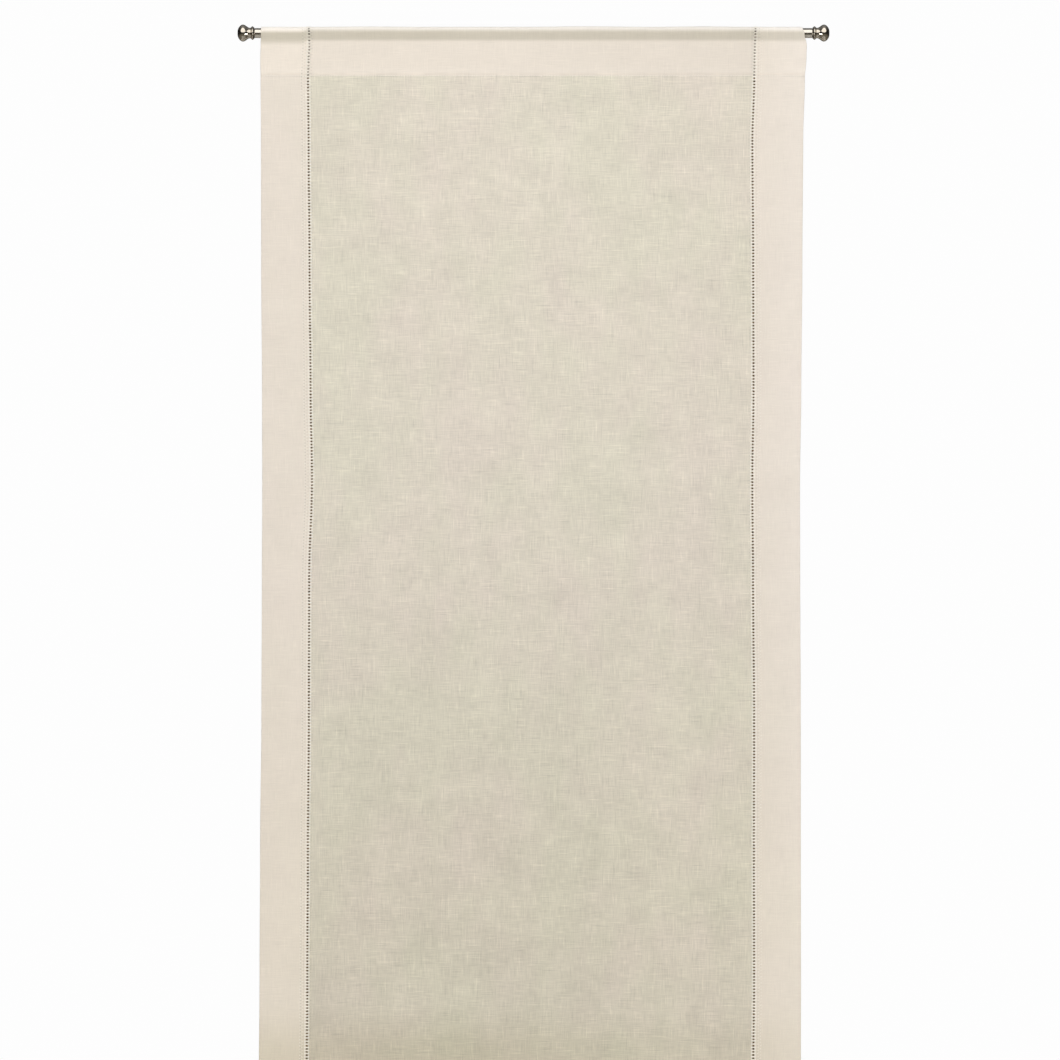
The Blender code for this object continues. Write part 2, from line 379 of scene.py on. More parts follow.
def band_columns(edge, line, inwards):
    """Columns of a side band from its folded edge to its openwork: (x at a height, fullness)."""
    columns = []
    for reach, full in FOLDED_EDGE:
        columns.append((lambda b, r=reach: edge_at(edge, b) + inwards * r, full))
    last = FOLDED_EDGE[-1][0]
    for share in np.linspace(0.0, 1.0, BAND_COLUMNS)[1:]:
        columns.append(
            (
                lambda b, k=share: (edge_at(edge, b) + inwards * last) * (1.0 - k)
                + (edge_at(line, b) - inwards * OPENWORK_HALF) * k,
                1.0,
            )
        )
    return columns if inwards > 0 else columns[::-1]


def panel_columns():
    """Columns of the single panel between the two rows of openwork."""
    columns = []
    for share in np.linspace(0.0, 1.0, PANEL_COLUMNS):
        columns.append(
            (
                lambda b, k=share: (edge_at("left_line", b) + OPENWORK_HALF) * (1.0 - k)
                + (edge_at("right_line", b) - OPENWORK_HALF) * k,
                1.0,
            )
        )
    return columns


def cloth_u(x, below):
    """Metres across the cloth from the left hemstitch line, steady along both lines."""
    left = edge_at("left_line", below)
    right = edge_at("right_line", below)
    inside = (x - left) / (right - left) * LINE_TO_LINE
    return np.where(x < left, x - left, np.where(x > right, LINE_TO_LINE + x - right, inside))


class Shape:
    """A mesh being put together: points, faces, and where each point lies on the cloth."""

    def __init__(self):
        self.points = []
        self.faces = []
        self.cloth = []
        self.finish = []
        self.count = 0

    def add(self, points, faces, cloth, finish=None):
        self.faces += [tuple(self.count + corner for corner in face) for face in faces]
        self.finish += finish or [0] * len(faces)
        self.points.append(points)
        self.cloth.append(cloth)
        self.count += len(points)

    def build(self, name, materials, angle=50.0):
        """The finished object, with its place on the cloth kept as a UV map in metres."""
        data = bpy.data.meshes.new(name)
        data.from_pydata(np.concatenate(self.points).tolist(), [], self.faces)
        for material in materials:
            data.materials.append(material)
        data.polygons.foreach_set("material_index", self.finish)
        corners = np.zeros(len(data.loops), np.int32)
        data.loops.foreach_get("vertex_index", corners)
        cloth = np.concatenate(self.cloth)[corners]
        data.uv_layers.new(name="cloth").data.foreach_set("uv", cloth.astype(np.float32).ravel())
        thing = bpy.data.objects.new(name, data)
        bpy.context.scene.collection.objects.link(thing)
        pick(thing)
        bpy.ops.object.mode_set(mode="EDIT")
        bpy.ops.mesh.select_all(action="SELECT")
        bpy.ops.mesh.remove_doubles(threshold=0.000002)
        bpy.ops.object.mode_set(mode="OBJECT")
        bpy.ops.object.shade_smooth_by_angle(angle=math.radians(angle))
        thing.select_set(False)
        return thing


def pick(thing):
    """Select this object alone and make it the active one."""
    bpy.ops.object.select_all(action="DESELECT")
    thing.select_set(True)
    bpy.context.view_layer.objects.active = thing


def cloth_slab(shape, columns, doubled):
    """Add one closed slab of cloth: its face, its back, its side walls and its two ends."""
    rows = cloth_rows()
    s = np.array([row[0] for row in rows])[:, None]
    full = np.array([row[1] for row in rows])[:, None] * np.array([c[1] for c in columns])[None, :]
    below = on_section(s, doubled)[1]
    x = np.concatenate([place(below) for place, _ in columns], 1)
    s = np.broadcast_to(s, x.shape)
    thick = cloth_thickness(s, doubled)
    face = lay(x, s, -0.5 * thick * (1.0 - full), doubled)
    back = lay(x, s, -0.5 * thick * (1.0 + full), doubled)
    cloth = np.stack([cloth_u(x, below), s], -1).reshape(-1, 2)
    count, across = x.shape
    size = count * across

    def at(row, column, behind=0):
        return row * across + column + behind * size

    faces = []
    for row in range(count - 1):
        for column in range(across - 1):
            faces.append((at(row, column), at(row, column + 1), at(row + 1, column + 1), at(row + 1, column)))
            faces.append(
                (
                    at(row, column, 1),
                    at(row + 1, column, 1),
                    at(row + 1, column + 1, 1),
                    at(row, column + 1, 1),
                )
            )
        last = across - 1
        faces.append((at(row, 0), at(row + 1, 0), at(row + 1, 0, 1), at(row, 0, 1)))
        faces.append((at(row, last), at(row, last, 1), at(row + 1, last, 1), at(row + 1, last)))
    for column in range(across - 1):
        top = count - 1
        faces.append((at(0, column), at(0, column, 1), at(0, column + 1, 1), at(0, column + 1)))
        faces.append((at(top, column), at(top, column + 1), at(top, column + 1, 1), at(top, column, 1)))
    shape.add(np.concatenate([face.reshape(-1, 3), back.reshape(-1, 3)]), faces, np.tile(cloth, (2, 1)))


def make_curtain(linen):
    shape = Shape()
    cloth_slab(shape, band_columns("left_edge", "left_line", 1.0), 1.0)
    cloth_slab(shape, panel_columns(), 0.0)
    cloth_slab(shape, band_columns("right_edge", "right_line", -1.0), 1.0)
    return shape.build("linen_curtain", [linen])


# ---------------------------------------------------------------- hemstitch and threads


def rung_places(seed):
    """Where the rungs between the holes lie along the cloth, with a hand's small unevenness."""
    chance = random.Random(seed)
    places = BOTTOM_S + HOLE_STEP * np.arange(HOLE_COUNT + 1)
    wander = [chance.uniform(-HOLE_WANDER, HOLE_WANDER) for _ in range(HOLE_COUNT - 1)]
    places[1:-1] += [share * HOLE_STEP for share in wander]
    return places


def openwork_strip(name, line, hem_side, edges, linen, shade):
    """A strip of cloth pierced by one row of holes, each closed by a face of painted shade. hem_side is -1
    where the hem lies to its left.
    """
    chance = random.Random(name)
    turn = np.arange(HOLE_POINTS) * 2.0 * math.pi / HOLE_POINTS
    way = np.stack([np.cos(turn), np.sin(turn)], 1)
    box = way / np.abs(way).max(1)[:, None]
    across, along, depth, faces, finish = [], [], [], [], []
    for cell, (low, high) in enumerate(zip(edges[:-1], edges[1:])):
        middle, half = (low + high) / 2.0, (high - low) / 2.0
        wide = HOLE_HALF_WIDTH * chance.uniform(*HOLE_WIDTHS)
        tall = HOLE_HALF_HEIGHT * chance.uniform(*HOLE_HEIGHTS)
        lean = chance.uniform(*HOLE_LEANS)
        hole = np.stack([way[:, 0] * wide, way[:, 1] * tall + way[:, 0] * wide * lean], 1)
        outer = box * (OPENWORK_HALF, half)
        rim = hole * RIM_SHARE + outer * (1.0 - RIM_SHARE)
        rings = (
            (hole, HOLE_LIP),
            (hole, HOLE_FLOOR),
            (hole, HOLE_FOOT),
            (rim, 0.0),
            (rim, 1.0),
            (outer, 0.0),
            (outer, 1.0),
        )
        for ring, deep in rings:
            across.append(ring[:, 0])
            along.append(middle + ring[:, 1])
            depth.append(np.full(HOLE_POINTS, deep))
        start = cell * len(rings) * HOLE_POINTS
        for step in range(HOLE_POINTS):
            after = (step + 1) % HOLE_POINTS
            for a, b in RING_PAIRS:
                a, b = start + a * HOLE_POINTS, start + b * HOLE_POINTS
                faces.append((a + step, b + step, b + after, a + after))
                finish.append(0)
        # Close the hole with a face that takes the painted shade.
        faces.append(tuple(start + HOLE_POINTS + step for step in range(HOLE_POINTS)))
        finish.append(1)
    across, along, depth = (np.concatenate(part) for part in (across, along, depth))
    doubled = 0.5 + 0.5 * hem_side * across / OPENWORK_HALF
    below = on_section(along, doubled)[1]
    x = edge_at(line, below) + across
    points = lay(x, along, -depth * cloth_thickness(along, doubled), doubled)
    shape = Shape()
    shape.add(points, faces, np.stack([cloth_u(x, below), along], 1), finish)
    return shape.build(name, [linen, shade])


def model_rings(rings, sides, squash=1.0):
    """A closed round piece along X: a filled disc at the first ring, then one extrusion to each next.

    rings are rows of (x, y, z, radius). squash flattens the finished piece in Z.
    """
    first = rings[0]
    bpy.ops.object.select_all(action="DESELECT")
    bpy.ops.mesh.primitive_circle_add(
        vertices=sides,
        radius=first[3],
        fill_type="NGON",
        location=first[:3],
        rotation=(0.0, math.pi / 2.0, 0.0),
    )
    thing = bpy.context.active_object
    bpy.ops.object.transform_apply(location=True, rotation=True, scale=True)
    bpy.ops.object.mode_set(mode="EDIT")
    bpy.ops.mesh.select_all(action="SELECT")
    for before, ring in zip(rings[:-1], rings[1:]):
        step = tuple(b - a for a, b in zip(before[:3], ring[:3]))
        bpy.ops.mesh.extrude_region_move(TRANSFORM_OT_translate={"value": step})
        grow = ring[3] / before[3]
        bpy.ops.transform.resize(value=(1.0, grow, grow), center_override=ring[:3])
    bpy.ops.mesh.select_all(action="SELECT")
    bpy.ops.mesh.normals_make_consistent(inside=False)
    bpy.ops.transform.resize(value=(1.0, 1.0, squash), center_override=(0.0, 0.0, 0.0))
    bpy.ops.object.mode_set(mode="OBJECT")
    return thing


def take_shape(thing):
    """The points and faces of a modelled stitch, which is then cleared away."""
    points = np.array([v.co[:] for v in thing.data.vertices])
    faces = [tuple(p.vertices) for p in thing.data.polygons]
    data = thing.data
    bpy.data.objects.remove(thing)
    bpy.data.meshes.remove(data)
    return points, faces


def stitch(length, radius, sides=6, bow=0.0, pinch=1.0, flatten=0.8):
    """One laid stitch along X about its middle: fine at its ends, bowed sideways by bow."""
    rings = []
    for share, swell in ((-0.5, 0.35), (-0.36, 0.9), (0.0, pinch), (0.36, 0.9), (0.5, 0.35)):
        rings.append((share * length, bow * (1.0 - 4.0 * share * share), 0.0, radius * swell))
    return take_shape(model_rings(rings, sides, flatten))


class Stitching:
    """Stitches gathered for one piece, then all laid on the cloth together.

    Along a hemstitch line, across is metres to the hem's side of it. With no line, it is x itself.
    """

    def __init__(self, line=None, side=1.0):
        self.line = line
        self.side = side
        self.across, self.along, self.out, self.behind, self.faces = [], [], [], [], []
        self.count = 0

    def put(self, stitch_shape, across, s, turn=0.0, out=0.0, size=1.0, behind=False):
        """Copy a modelled stitch to a place on the cloth's face or its back, turned on the face."""
        points, faces = stitch_shape
        points = points * size
        self.across.append(across + points[:, 0] * math.cos(turn) - points[:, 1] * math.sin(turn))
        self.along.append(s + points[:, 0] * math.sin(turn) + points[:, 1] * math.cos(turn))
        self.out.append(out + points[:, 2])
        self.behind.append(np.full(len(points), behind))
        order = -1 if (self.side < 0) != behind else 1
        self.faces += [tuple(self.count + corner for corner in face[::order]) for face in faces]
        self.count += len(points)

    def build(self, name, thread):
        across, along, out, behind = (
            np.concatenate(part) for part in (self.across, self.along, self.out, self.behind)
        )
        if self.line:
            doubled = np.clip(0.5 + 0.5 * across / OPENWORK_HALF, 0.0, 1.0)
            below = on_section(along, doubled)[1]
            x = edge_at(self.line, below) + self.side * across
        else:
            x = across
            below = on_section(along, 0.0)[1]
            beyond = np.maximum(edge_at("left_line", below) - x, x - edge_at("right_line", below))
            doubled = np.clip(0.5 + 0.5 * beyond / OPENWORK_HALF, 0.0, 1.0)
        out = np.where(behind, -cloth_thickness(along, doubled) - out, out)
        shape = Shape()
        shape.add(lay(x, along, out, doubled), self.faces, np.stack([cloth_u(x, below), along], 1))
        return shape.build(name, [thread], 60.0)


def make_hemstitch(name, line, side, edges, thread, shapes):
    """The threads of one hemstitch row: rungs, knots, the scalloped hem edge and the running edge."""
    chance = random.Random(name)
    rung, knot, scallop, running, pick_stitch = shapes
    row = Stitching(line, side)
    upright = math.pi / 2.0
    for low, high in zip(edges[:-1], edges[1:]):
        middle = (low + high) / 2.0
        wander = chance.uniform(-0.00010, 0.00010)
        turn = chance.uniform(-0.09, 0.09)
        size = chance.uniform(0.94, 1.06)
        row.put(rung, RUNG_AT[0], low, turn, RUNG_AT[1], size)
        for behind in (False, True):
            lean = chance.uniform(-0.12, 0.12)
            size = chance.uniform(0.90, 1.08)
            row.put(knot, KNOT_AT[0] + wander, low, 1.2 + 2.0 * lean, KNOT_AT[1], size, behind)
            row.put(scallop, SCALLOP_AT[0] + wander, middle, upright + lean, SCALLOP_AT[1], size, behind)
            row.put(running, RUNNING_AT[0] - wander, middle, upright - lean, RUNNING_AT[1], size, behind)
        for far, s in ((INNER_PICK, low), (OUTER_PICK, middle)):
            far += chance.uniform(-0.0003, 0.0003)
            turn = chance.uniform(0.3, 1.5)
            size = chance.uniform(0.7, 1.15)
            row.put(pick_stitch, far, s, turn, PICK_PROUD, size)
    return row.build(name, thread)


def make_seams(thread, machine_stitch):
    """Rows of machine stitches: the pocket's seam, front and back, and the bottom hem, both faces."""
    chance = random.Random("seams")
    rows = Stitching()
    hem_line = HEM_TOP_S - HEM_STITCH_BELOW
    for s, behind in ((0.0, False), (BACK_SEAM_S, False), (hem_line, False), (hem_line, True)):
        below = float(on_section(s, 0.0)[1])
        left = float(edge_at("left_edge", below)) + SEAM_INSET
        right = float(edge_at("right_edge", below)) - SEAM_INSET
        count = round((right - left) / SEAM_STITCH_PITCH)
        for x in left + (right - left) * (np.arange(count) + 0.5) / count:
            wander = chance.uniform(-0.00008, 0.00008)
            turn = chance.uniform(-0.06, 0.06)
            rows.put(machine_stitch, x, s + wander, turn, SEAM_PROUD, 1.0, behind)
    return rows.build("seam_stitches", thread)


# ---------------------------------------------------------------- metal


def make_rod(metal):
    rod = model_rings(
        [
            (-ROD_HALF_LENGTH, 0.0, 0.0, ROD_RADIUS - ROD_END_EDGE),
            (-ROD_HALF_LENGTH + ROD_END_EDGE, 0.0, 0.0, ROD_RADIUS),
            (ROD_HALF_LENGTH - ROD_END_EDGE, 0.0, 0.0, ROD_RADIUS),
            (ROD_HALF_LENGTH, 0.0, 0.0, ROD_RADIUS - ROD_END_EDGE),
        ],
        ROD_SIDES,
    )
    return finish_metal(rod, "dark_rod", metal)


def make_finial(name, direction, metal):
    start = ROD_HALF_LENGTH + METAL_GAP
    rings = [(direction * (start + out), 0.0, 0.0, radius) for out, radius in FINIAL_PROFILE]
    return finish_metal(model_rings(rings, ROD_SIDES), name, metal)


def finish_metal(thing, name, metal):
    thing.name = name
    thing.data.name = name
    thing.data.materials.append(metal)
    pick(thing)
    bpy.ops.object.shade_smooth_by_angle(angle=math.radians(42.0))
    thing.select_set(False)
    return thing


# ---------------------------------------------------------------- finishes


class Value:
    """A number that varies over a surface, with Python's own operators."""

    def __init__(self, finish, socket):
        self.finish = finish
        self.socket = socket

    def maths(self, operation, *others):
        sockets = dict(enumerate((self,) + others))
        return self.finish.node("ShaderNodeMath", {"operation": operation}, sockets)

    def __add__(self, other):
        return self.maths("ADD", other)

    __radd__ = __add__

    def __mul__(self, other):
        return self.maths("MULTIPLY", other)

    __rmul__ = __mul__

    def __sub__(self, other):
        return self.maths("SUBTRACT", other)

    def __rsub__(self, other):
        return self.finish.node("ShaderNodeMath", {"operation": "SUBTRACT"}, {0: other, 1: self})

    def __truediv__(self, other):
        return self.maths("DIVIDE", other)

    def __abs__(self):
        return self.maths("ABSOLUTE")

    def ramp(self, low, high):
        """0 below low, 1 above high, eased between them. low may be the larger."""
        return self.finish.node(
            "ShaderNodeMapRange",
            {"interpolation_type": "SMOOTHSTEP"},
            {"Value": self, "From Min": low, "From Max": high},
        )


class Finish:
    """One material's nodes."""

    def __init__(self, name, roughness, metallic=0.0):
        self.material = bpy.data.materials.new(name)
        self.material.use_nodes = True
        self.tree = self.material.node_tree
        self.shader = self.tree.nodes["Principled BSDF"]
        self.shader.inputs["Roughness"].default_value = roughness
        self.shader.inputs["Metallic"].default_value = metallic

    def node(self, kind, settings=None, sockets=None, output=0):
        """Add a node: its settings, then each socket's number, colour or link. Gives one output."""
        made = self.tree.nodes.new(kind)
        for name, value in (settings or {}).items():
            setattr(made, name, value)
        for name, value in (sockets or {}).items():
            self.feed(made.inputs[name], value)
        return Value(self, made.outputs[output])

    def feed(self, socket, value):
        if isinstance(value, Value):
            self.tree.links.new(value.socket, socket)
        else:
            socket.default_value = value

    def mix(self, share, first, second, blend="MIX"):
        """Blend two colours by a share."""
        settings = {"data_type": "RGBA", "blend_type": blend}
        return self.node("ShaderNodeMix", settings, {0: share, 6: first, 7: second}, 2)

    def scale(self, colour, amount):
        """A colour made lighter or darker by a varying amount."""
        shade = colour if isinstance(colour, Value) else colour[:3]
        return self.node("ShaderNodeVectorMath", {"operation": "SCALE"}, {0: shade, "Scale": amount})

    def grain(self, place, stretch, offset=(0.0, 0.0, 0.0), detail=2.0, roughness=0.5, flat=True):
        """Noise about 0, from -0.5 to 0.5, at stretch cycles a metre each way."""
        placed = self.node(
            "ShaderNodeVectorMath", {"operation": "MULTIPLY_ADD"}, {0: place, 1: stretch, 2: offset}
        )
        settings = {"noise_dimensions": "2D" if flat else "3D"}
        sockets = {"Vector": placed, "Scale": 1.0, "Detail": detail, "Roughness": roughness}
        return self.node("ShaderNodeTexNoise", settings, sockets) - 0.5

    def rod_shade(self, across, up):
        """Painted shade where the dark rod shows through the pocket, from 0 to 1. It reaches lower on the
        left band.
        """
        left = across.ramp(0.0, -SHADE_BLEND)
        right = across.ramp(LINE_TO_LINE, LINE_TO_LINE + SHADE_BLEND)
        away = abs(up - ROD_TOP_S)
        ends = SHADE_ENDS[1] + SHADE_LONGER[0] * left + SHADE_LONGER[1] * right
        top = (away - SHADE_LATER[0] * left - SHADE_LATER[1] * right).ramp(*SHADE_STARTS)
        low = ((ends - away) / (ends - SHADE_ENDS[0])).ramp(0.0, 1.0)
        return top * low * (0.84 + 0.07 * across.ramp(0.24, 0.10) + 0.09 * left - 0.09 * right)

    def dots(self, beyond, up, mark):
        """Round dots along both hemstitch rows, 1 inside, 0 outside. beyond is metres past a line."""
        place, shift = mark
        along = ((up - BOTTOM_S) / HOLE_STEP + shift).maths("FRACT") * HOLE_STEP - HOLE_STEP / 2.0
        off = beyond - place
        return (off * off + along * along).maths("SQRT").ramp(*MARK_EDGE)

    def finish(self, colour, roughness=None, relief=None, depth=0.0001, strength=1.0):
        """Join what varies to the shader."""
        self.feed(self.shader.inputs["Base Color"], colour)
        if roughness is not None:
            self.feed(self.shader.inputs["Roughness"], roughness)
        if relief is not None:
            sockets = {"Height": relief, "Distance": depth, "Strength": strength}
            bump = self.node("ShaderNodeBump", None, sockets)
            self.feed(self.shader.inputs["Normal"], bump)
        return self.material


def colour(red, green, blue):
    return (red, green, blue, 1.0)


# Linen colours: a single layer, a doubled band, the pocket's two layers, and painted shade where the rod
# shows.
SINGLE = colour(0.765, 0.716, 0.618)
SINGLE_PINK = colour(0.785, 0.709, 0.640)
SINGLE_GREEN = colour(0.745, 0.725, 0.605)
DOUBLED = colour(0.862, 0.785, 0.715)
DOUBLED_WARM = colour(0.850, 0.790, 0.700)
POCKET = colour(0.880, 0.810, 0.728)
ROD_PAINTED_SHADE = colour(0.618, 0.574, 0.482)

# Tints that multiply the linen: painted light over the rod's top; lighter towards the right edge;
# painted shade at the foot; warmer down the panel.
CREST_PAINTED_LIGHT = colour(1.105, 1.140, 1.185)
RIGHT_LIGHT = colour(1.050, 1.056, 1.078)
FOOT_PAINTED_SHADE = colour(0.888, 0.885, 0.828)
LOW_WARMTH = colour(1.000, 0.995, 0.962)

# Thread; painted shade on the face that closes a hole in the panel, in the pocket and over the rod; metal.
THREAD = colour(0.940, 0.900, 0.830)
THREAD_ROD_PAINTED_SHADE = colour(0.690, 0.660, 0.585)
HOLE_SHADE = colour(0.100, 0.058, 0.024)
POCKET_SHADE = colour(0.330, 0.300, 0.260)
ROD_SHADE = colour(0.090, 0.075, 0.055)
ROD_NICKEL = colour(0.50, 0.47, 0.42)
FINIAL_NICKEL = colour(0.46, 0.42, 0.36)

# Where the painted shade of the rod darkens the pocket, from the rod's top along the cloth: from none to full
# near the top, then from full to none lower down. On the left and right bands it starts later and reaches
# further, and it changes over SHADE_BLEND past the hemstitch lines.
SHADE_STARTS = (0.0048, 0.0104)
SHADE_ENDS = (0.0170, 0.0218)
SHADE_LATER = (0.0022, 0.0008)
SHADE_LONGER = (0.0044, 0.0006)
SHADE_BLEND = 0.010

# Needle marks beside a hemstitch line: (metres towards the hem, share of a pitch along it), and the
# distances from a mark's middle where it ends and where it is full.
NEAR_MARKS = (0.0043, 0.0)
FAR_MARKS = (0.0071, 0.5)
PANEL_MARKS = (-0.0037, 0.5)
MARK_EDGE = (0.00105, 0.00045)

# How strongly each part of the weave shows, as a share of the cloth's tone.
THREADS_SHOW = 0.27
SLUBS_SHOW = 0.090
THINS_SHOW = 0.080
WARP_STRAYS_SHOW = 0.050
WEFT_STRAYS_SHOW = 0.075
CLOUDS_SHOW = 0.11
BLOTCHES_SHOW = 0.13
CALMER_WHEN_THICK = 0.65
# How dark the painted shade in the needle marks is.
NEAR_MARKS_SHOW = 0.10
PANEL_MARKS_SHOW = 0.07


def linen_tone(finish, place, across, up, pocket, thick):
    """Linen colour before the weave: its layers, painted shade from the rod and at the foot, painted light on
    top, its side.
    """
    hue = finish.grain(place, (7.0, 5.0, 1.0), (11.3, 2.2, 0.0), 2.0, 0.5)
    hue = hue + finish.grain(place, (34.0, 16.0, 1.0), (4.8, 6.1, 0.0), 1.0, 0.5) * 0.4
    single = finish.mix((hue * 2.2 + 0.45).maths("MAXIMUM", 0.0), SINGLE_GREEN, SINGLE_PINK)
    single = finish.mix(0.45, single, SINGLE)
    band = finish.mix(hue + 0.5, DOUBLED_WARM, DOUBLED)
    tone = finish.mix(thick, single, band)
    tone = finish.mix(pocket * 0.8, tone, POCKET)
    # Painted shade where the dark rod shows through the pocket.
    tone = finish.mix(finish.rod_shade(across, up), tone, ROD_PAINTED_SHADE)

    # Painted shade: greyer at the foot, most of all at its left. Slightly warmer all down the panel.
    foot_painted_shade = up.ramp(-1.030, -1.100) * (0.5 + 0.5 * across.ramp(0.40, 0.15))
    tone = finish.mix(foot_painted_shade, tone, FOOT_PAINTED_SHADE, "MULTIPLY")
    tone = finish.mix(up.ramp(-0.40, -1.05), tone, LOW_WARMTH, "MULTIPLY")

    # Painted light, lighter and cooler, over the rod's top. Lighter and cooler towards the right edge.
    crest_painted_light = abs(up - ROD_TOP_S).ramp(0.0120, 0.0045)
    tone = finish.mix(crest_painted_light, tone, CREST_PAINTED_LIGHT, "MULTIPLY")
    right = across.ramp(LINE_TO_LINE - 0.010, LINE_TO_LINE + 0.060)
    return finish.mix(right, tone, RIGHT_LIGHT, "MULTIPLY")


def linen_finish(name):
    """Plain-weave linen: uneven threads both ways, stray slubs, cloudy tone, doubled bands lighter."""
    finish = Finish(name, 0.9)
    place = finish.node("ShaderNodeUVMap", {"uv_map": "cloth"})
    across = finish.node("ShaderNodeSeparateXYZ", None, {0: place}, 0)
    up = finish.node("ShaderNodeSeparateXYZ", None, {0: place}, 1)

    warp = finish.grain(place, (1500.0, 60.0, 1.0), (3.1, 0.7, 0.0), 2.0, 0.55)
    weft = finish.grain(place, (60.0, 1500.0, 1.0), (8.4, 5.2, 0.0), 2.0, 0.55)
    warp_slub = finish.grain(place, (520.0, 42.0, 1.0), (1.7, 9.3, 0.0), 1.0, 0.5).ramp(0.10, 0.34)
    weft_slub = finish.grain(place, (38.0, 560.0, 1.0), (6.6, 2.9, 0.0), 1.0, 0.5).ramp(0.10, 0.34)
    warp_thin = finish.grain(place, (480.0, 30.0, 1.0), (5.7, 1.3, 0.0), 1.0, 0.5).ramp(0.12, 0.36)
    weft_thin = finish.grain(place, (30.0, 500.0, 1.0), (2.6, 7.9, 0.0), 1.0, 0.5).ramp(0.12, 0.36)
    warp_stray = finish.grain(place, (640.0, 15.0, 1.0), (9.9, 3.7, 0.0), 1.0, 0.5).ramp(0.16, 0.32)
    weft_stray = finish.grain(place, (13.0, 680.0, 1.0), (4.2, 8.8, 0.0), 1.0, 0.5).ramp(0.16, 0.32)
    cloud = finish.grain(place, (16.0, 20.0, 1.0), (0.3, 4.1, 0.0), 3.0, 0.55)
    blotch = finish.grain(place, (42.0, 38.0, 1.0), (5.1, 6.6, 0.0), 2.0, 0.6)

    off_centre = abs(across - HALF_LINES)
    doubled = off_centre.ramp(HALF_LINES - 0.0004, HALF_LINES + 0.0004)
    pocket = up.ramp(-0.0012, 0.0022)
    hem = up.ramp(HEM_TOP_S + 0.0006, HEM_TOP_S - 0.0006)
    thick = doubled.maths("MAXIMUM", pocket.maths("MAXIMUM", hem))
    tone = linen_tone(finish, place, across, up, pocket, thick)

    # Needle marks beside the openwork: pits in the bump, darkened by painted shade.
    beyond = off_centre - HALF_LINES
    uneven = finish.grain(place, (420.0, 420.0, 1.0), (1.9, 4.4, 0.0), 1.0, 0.5) * 2.2 + 1.0
    outer = finish.dots(beyond, up, FAR_MARKS) * (0.03 + 0.12 * across.ramp(0.30, 0.20))
    needle_pits_and_shade = finish.dots(beyond, up, NEAR_MARKS) * NEAR_MARKS_SHOW + outer
    needle_pits_and_shade = needle_pits_and_shade + finish.dots(beyond, up, PANEL_MARKS) * PANEL_MARKS_SHOW
    needle_pits_and_shade = needle_pits_and_shade * uneven

    # Threads, and tone that changes slowly: painted shade, darker down the panel; lighter on the pocket
    # and low right.
    contrast = 1.0 - CALMER_WHEN_THICK * thick
    threads = (warp + weft) * THREADS_SHOW
    threads = threads + (warp_slub + weft_slub) * SLUBS_SHOW - (warp_thin + weft_thin) * THINS_SHOW
    threads = threads + warp_stray * WARP_STRAYS_SHOW + weft_stray * WEFT_STRAYS_SHOW
    # Painted shade: darker down the panel towards its foot.
    low = up.ramp(-0.30, BOTTOM_S + 0.02) * (0.17 - 0.10 * doubled)
    lift = pocket * (0.045 * doubled + across.ramp(0.45, 0.0) * 0.045 - 0.02)
    lift = lift + across.ramp(0.30, 0.40) * up.ramp(-0.58, -0.72) * (1.0 - doubled) * 0.030

    # Painted shade in the patchy crease under the pocket's seam, and a painted highlight on the ridge over
    # it.
    patchy = finish.grain(place, (32.0, 6.0, 1.0), (7.7, 0.9, 0.0), 2.0, 0.5)
    seam_crease_painted_shade = abs(up + 0.0007).ramp(0.0012, 0.0004) * (patchy * 0.30 + 0.035).maths("MAXIMUM", 0.0)
    seam_ridge_painted_light = abs(up - 0.0022).ramp(0.0020, 0.0008) * (0.015 - patchy * 0.24).maths("MAXIMUM", 0.0)

    texture = contrast * (threads + cloud * CLOUDS_SHOW + blotch * BLOTCHES_SHOW)
    shade = 1.0 + texture - low + lift - needle_pits_and_shade - seam_crease_painted_shade + seam_ridge_painted_light
    relief = warp + weft + (warp_slub + weft_slub) * 0.8 - needle_pits_and_shade * 6.0
    rough = 0.90 - (warp + weft) * 0.10
    return finish.finish(finish.scale(tone, shade), rough, relief, 0.00012, 0.55)


def thread_finish(name, shade):
    """Twisted linen thread."""
    finish = Finish(name, 0.75)
    place = finish.node("ShaderNodeTexCoord", None, None, 3)
    cloth = finish.node("ShaderNodeUVMap", {"uv_map": "cloth"})
    across = finish.node("ShaderNodeSeparateXYZ", None, {0: cloth}, 0)
    up = finish.node("ShaderNodeSeparateXYZ", None, {0: cloth}, 1)
    twist = finish.grain(place, (900.0, 900.0, 2600.0), (0.0, 0.0, 0.0), 2.0, 0.6, False)
    tone = finish.grain(place, (120.0, 120.0, 160.0), (4.0, 1.0, 2.0), 2.0, 0.6, False)
    # Painted shade where the dark rod shows through under the thread.
    base = finish.mix(finish.rod_shade(across, up), shade, THREAD_ROD_PAINTED_SHADE)
    return finish.finish(finish.scale(base, 1.0 + twist * 0.20 + tone * 0.22), None, twist, 0.00008, 0.6)


def hole_finish(name):
    """Painted shade on the face that closes a hole: deep in the hanging panel, pale where the pocket's back
    lies behind.
    """
    finish = Finish(name, 1.0)
    place = finish.node("ShaderNodeUVMap", {"uv_map": "cloth"})
    up = finish.node("ShaderNodeSeparateXYZ", None, {0: place}, 1)
    vary = finish.grain(place, (0.0, 260.0, 1.0), (0.0, 3.3, 0.0), 1.0, 0.5)
    pocket = up.ramp(-0.001, 0.001)
    rod = abs(up - ROD_TOP_S).ramp(0.0150, 0.0125)
    shade = finish.mix(rod, finish.mix(pocket, HOLE_SHADE, POCKET_SHADE), ROD_SHADE)
    return finish.finish(finish.scale(shade, 1.0 + vary * 2.4))


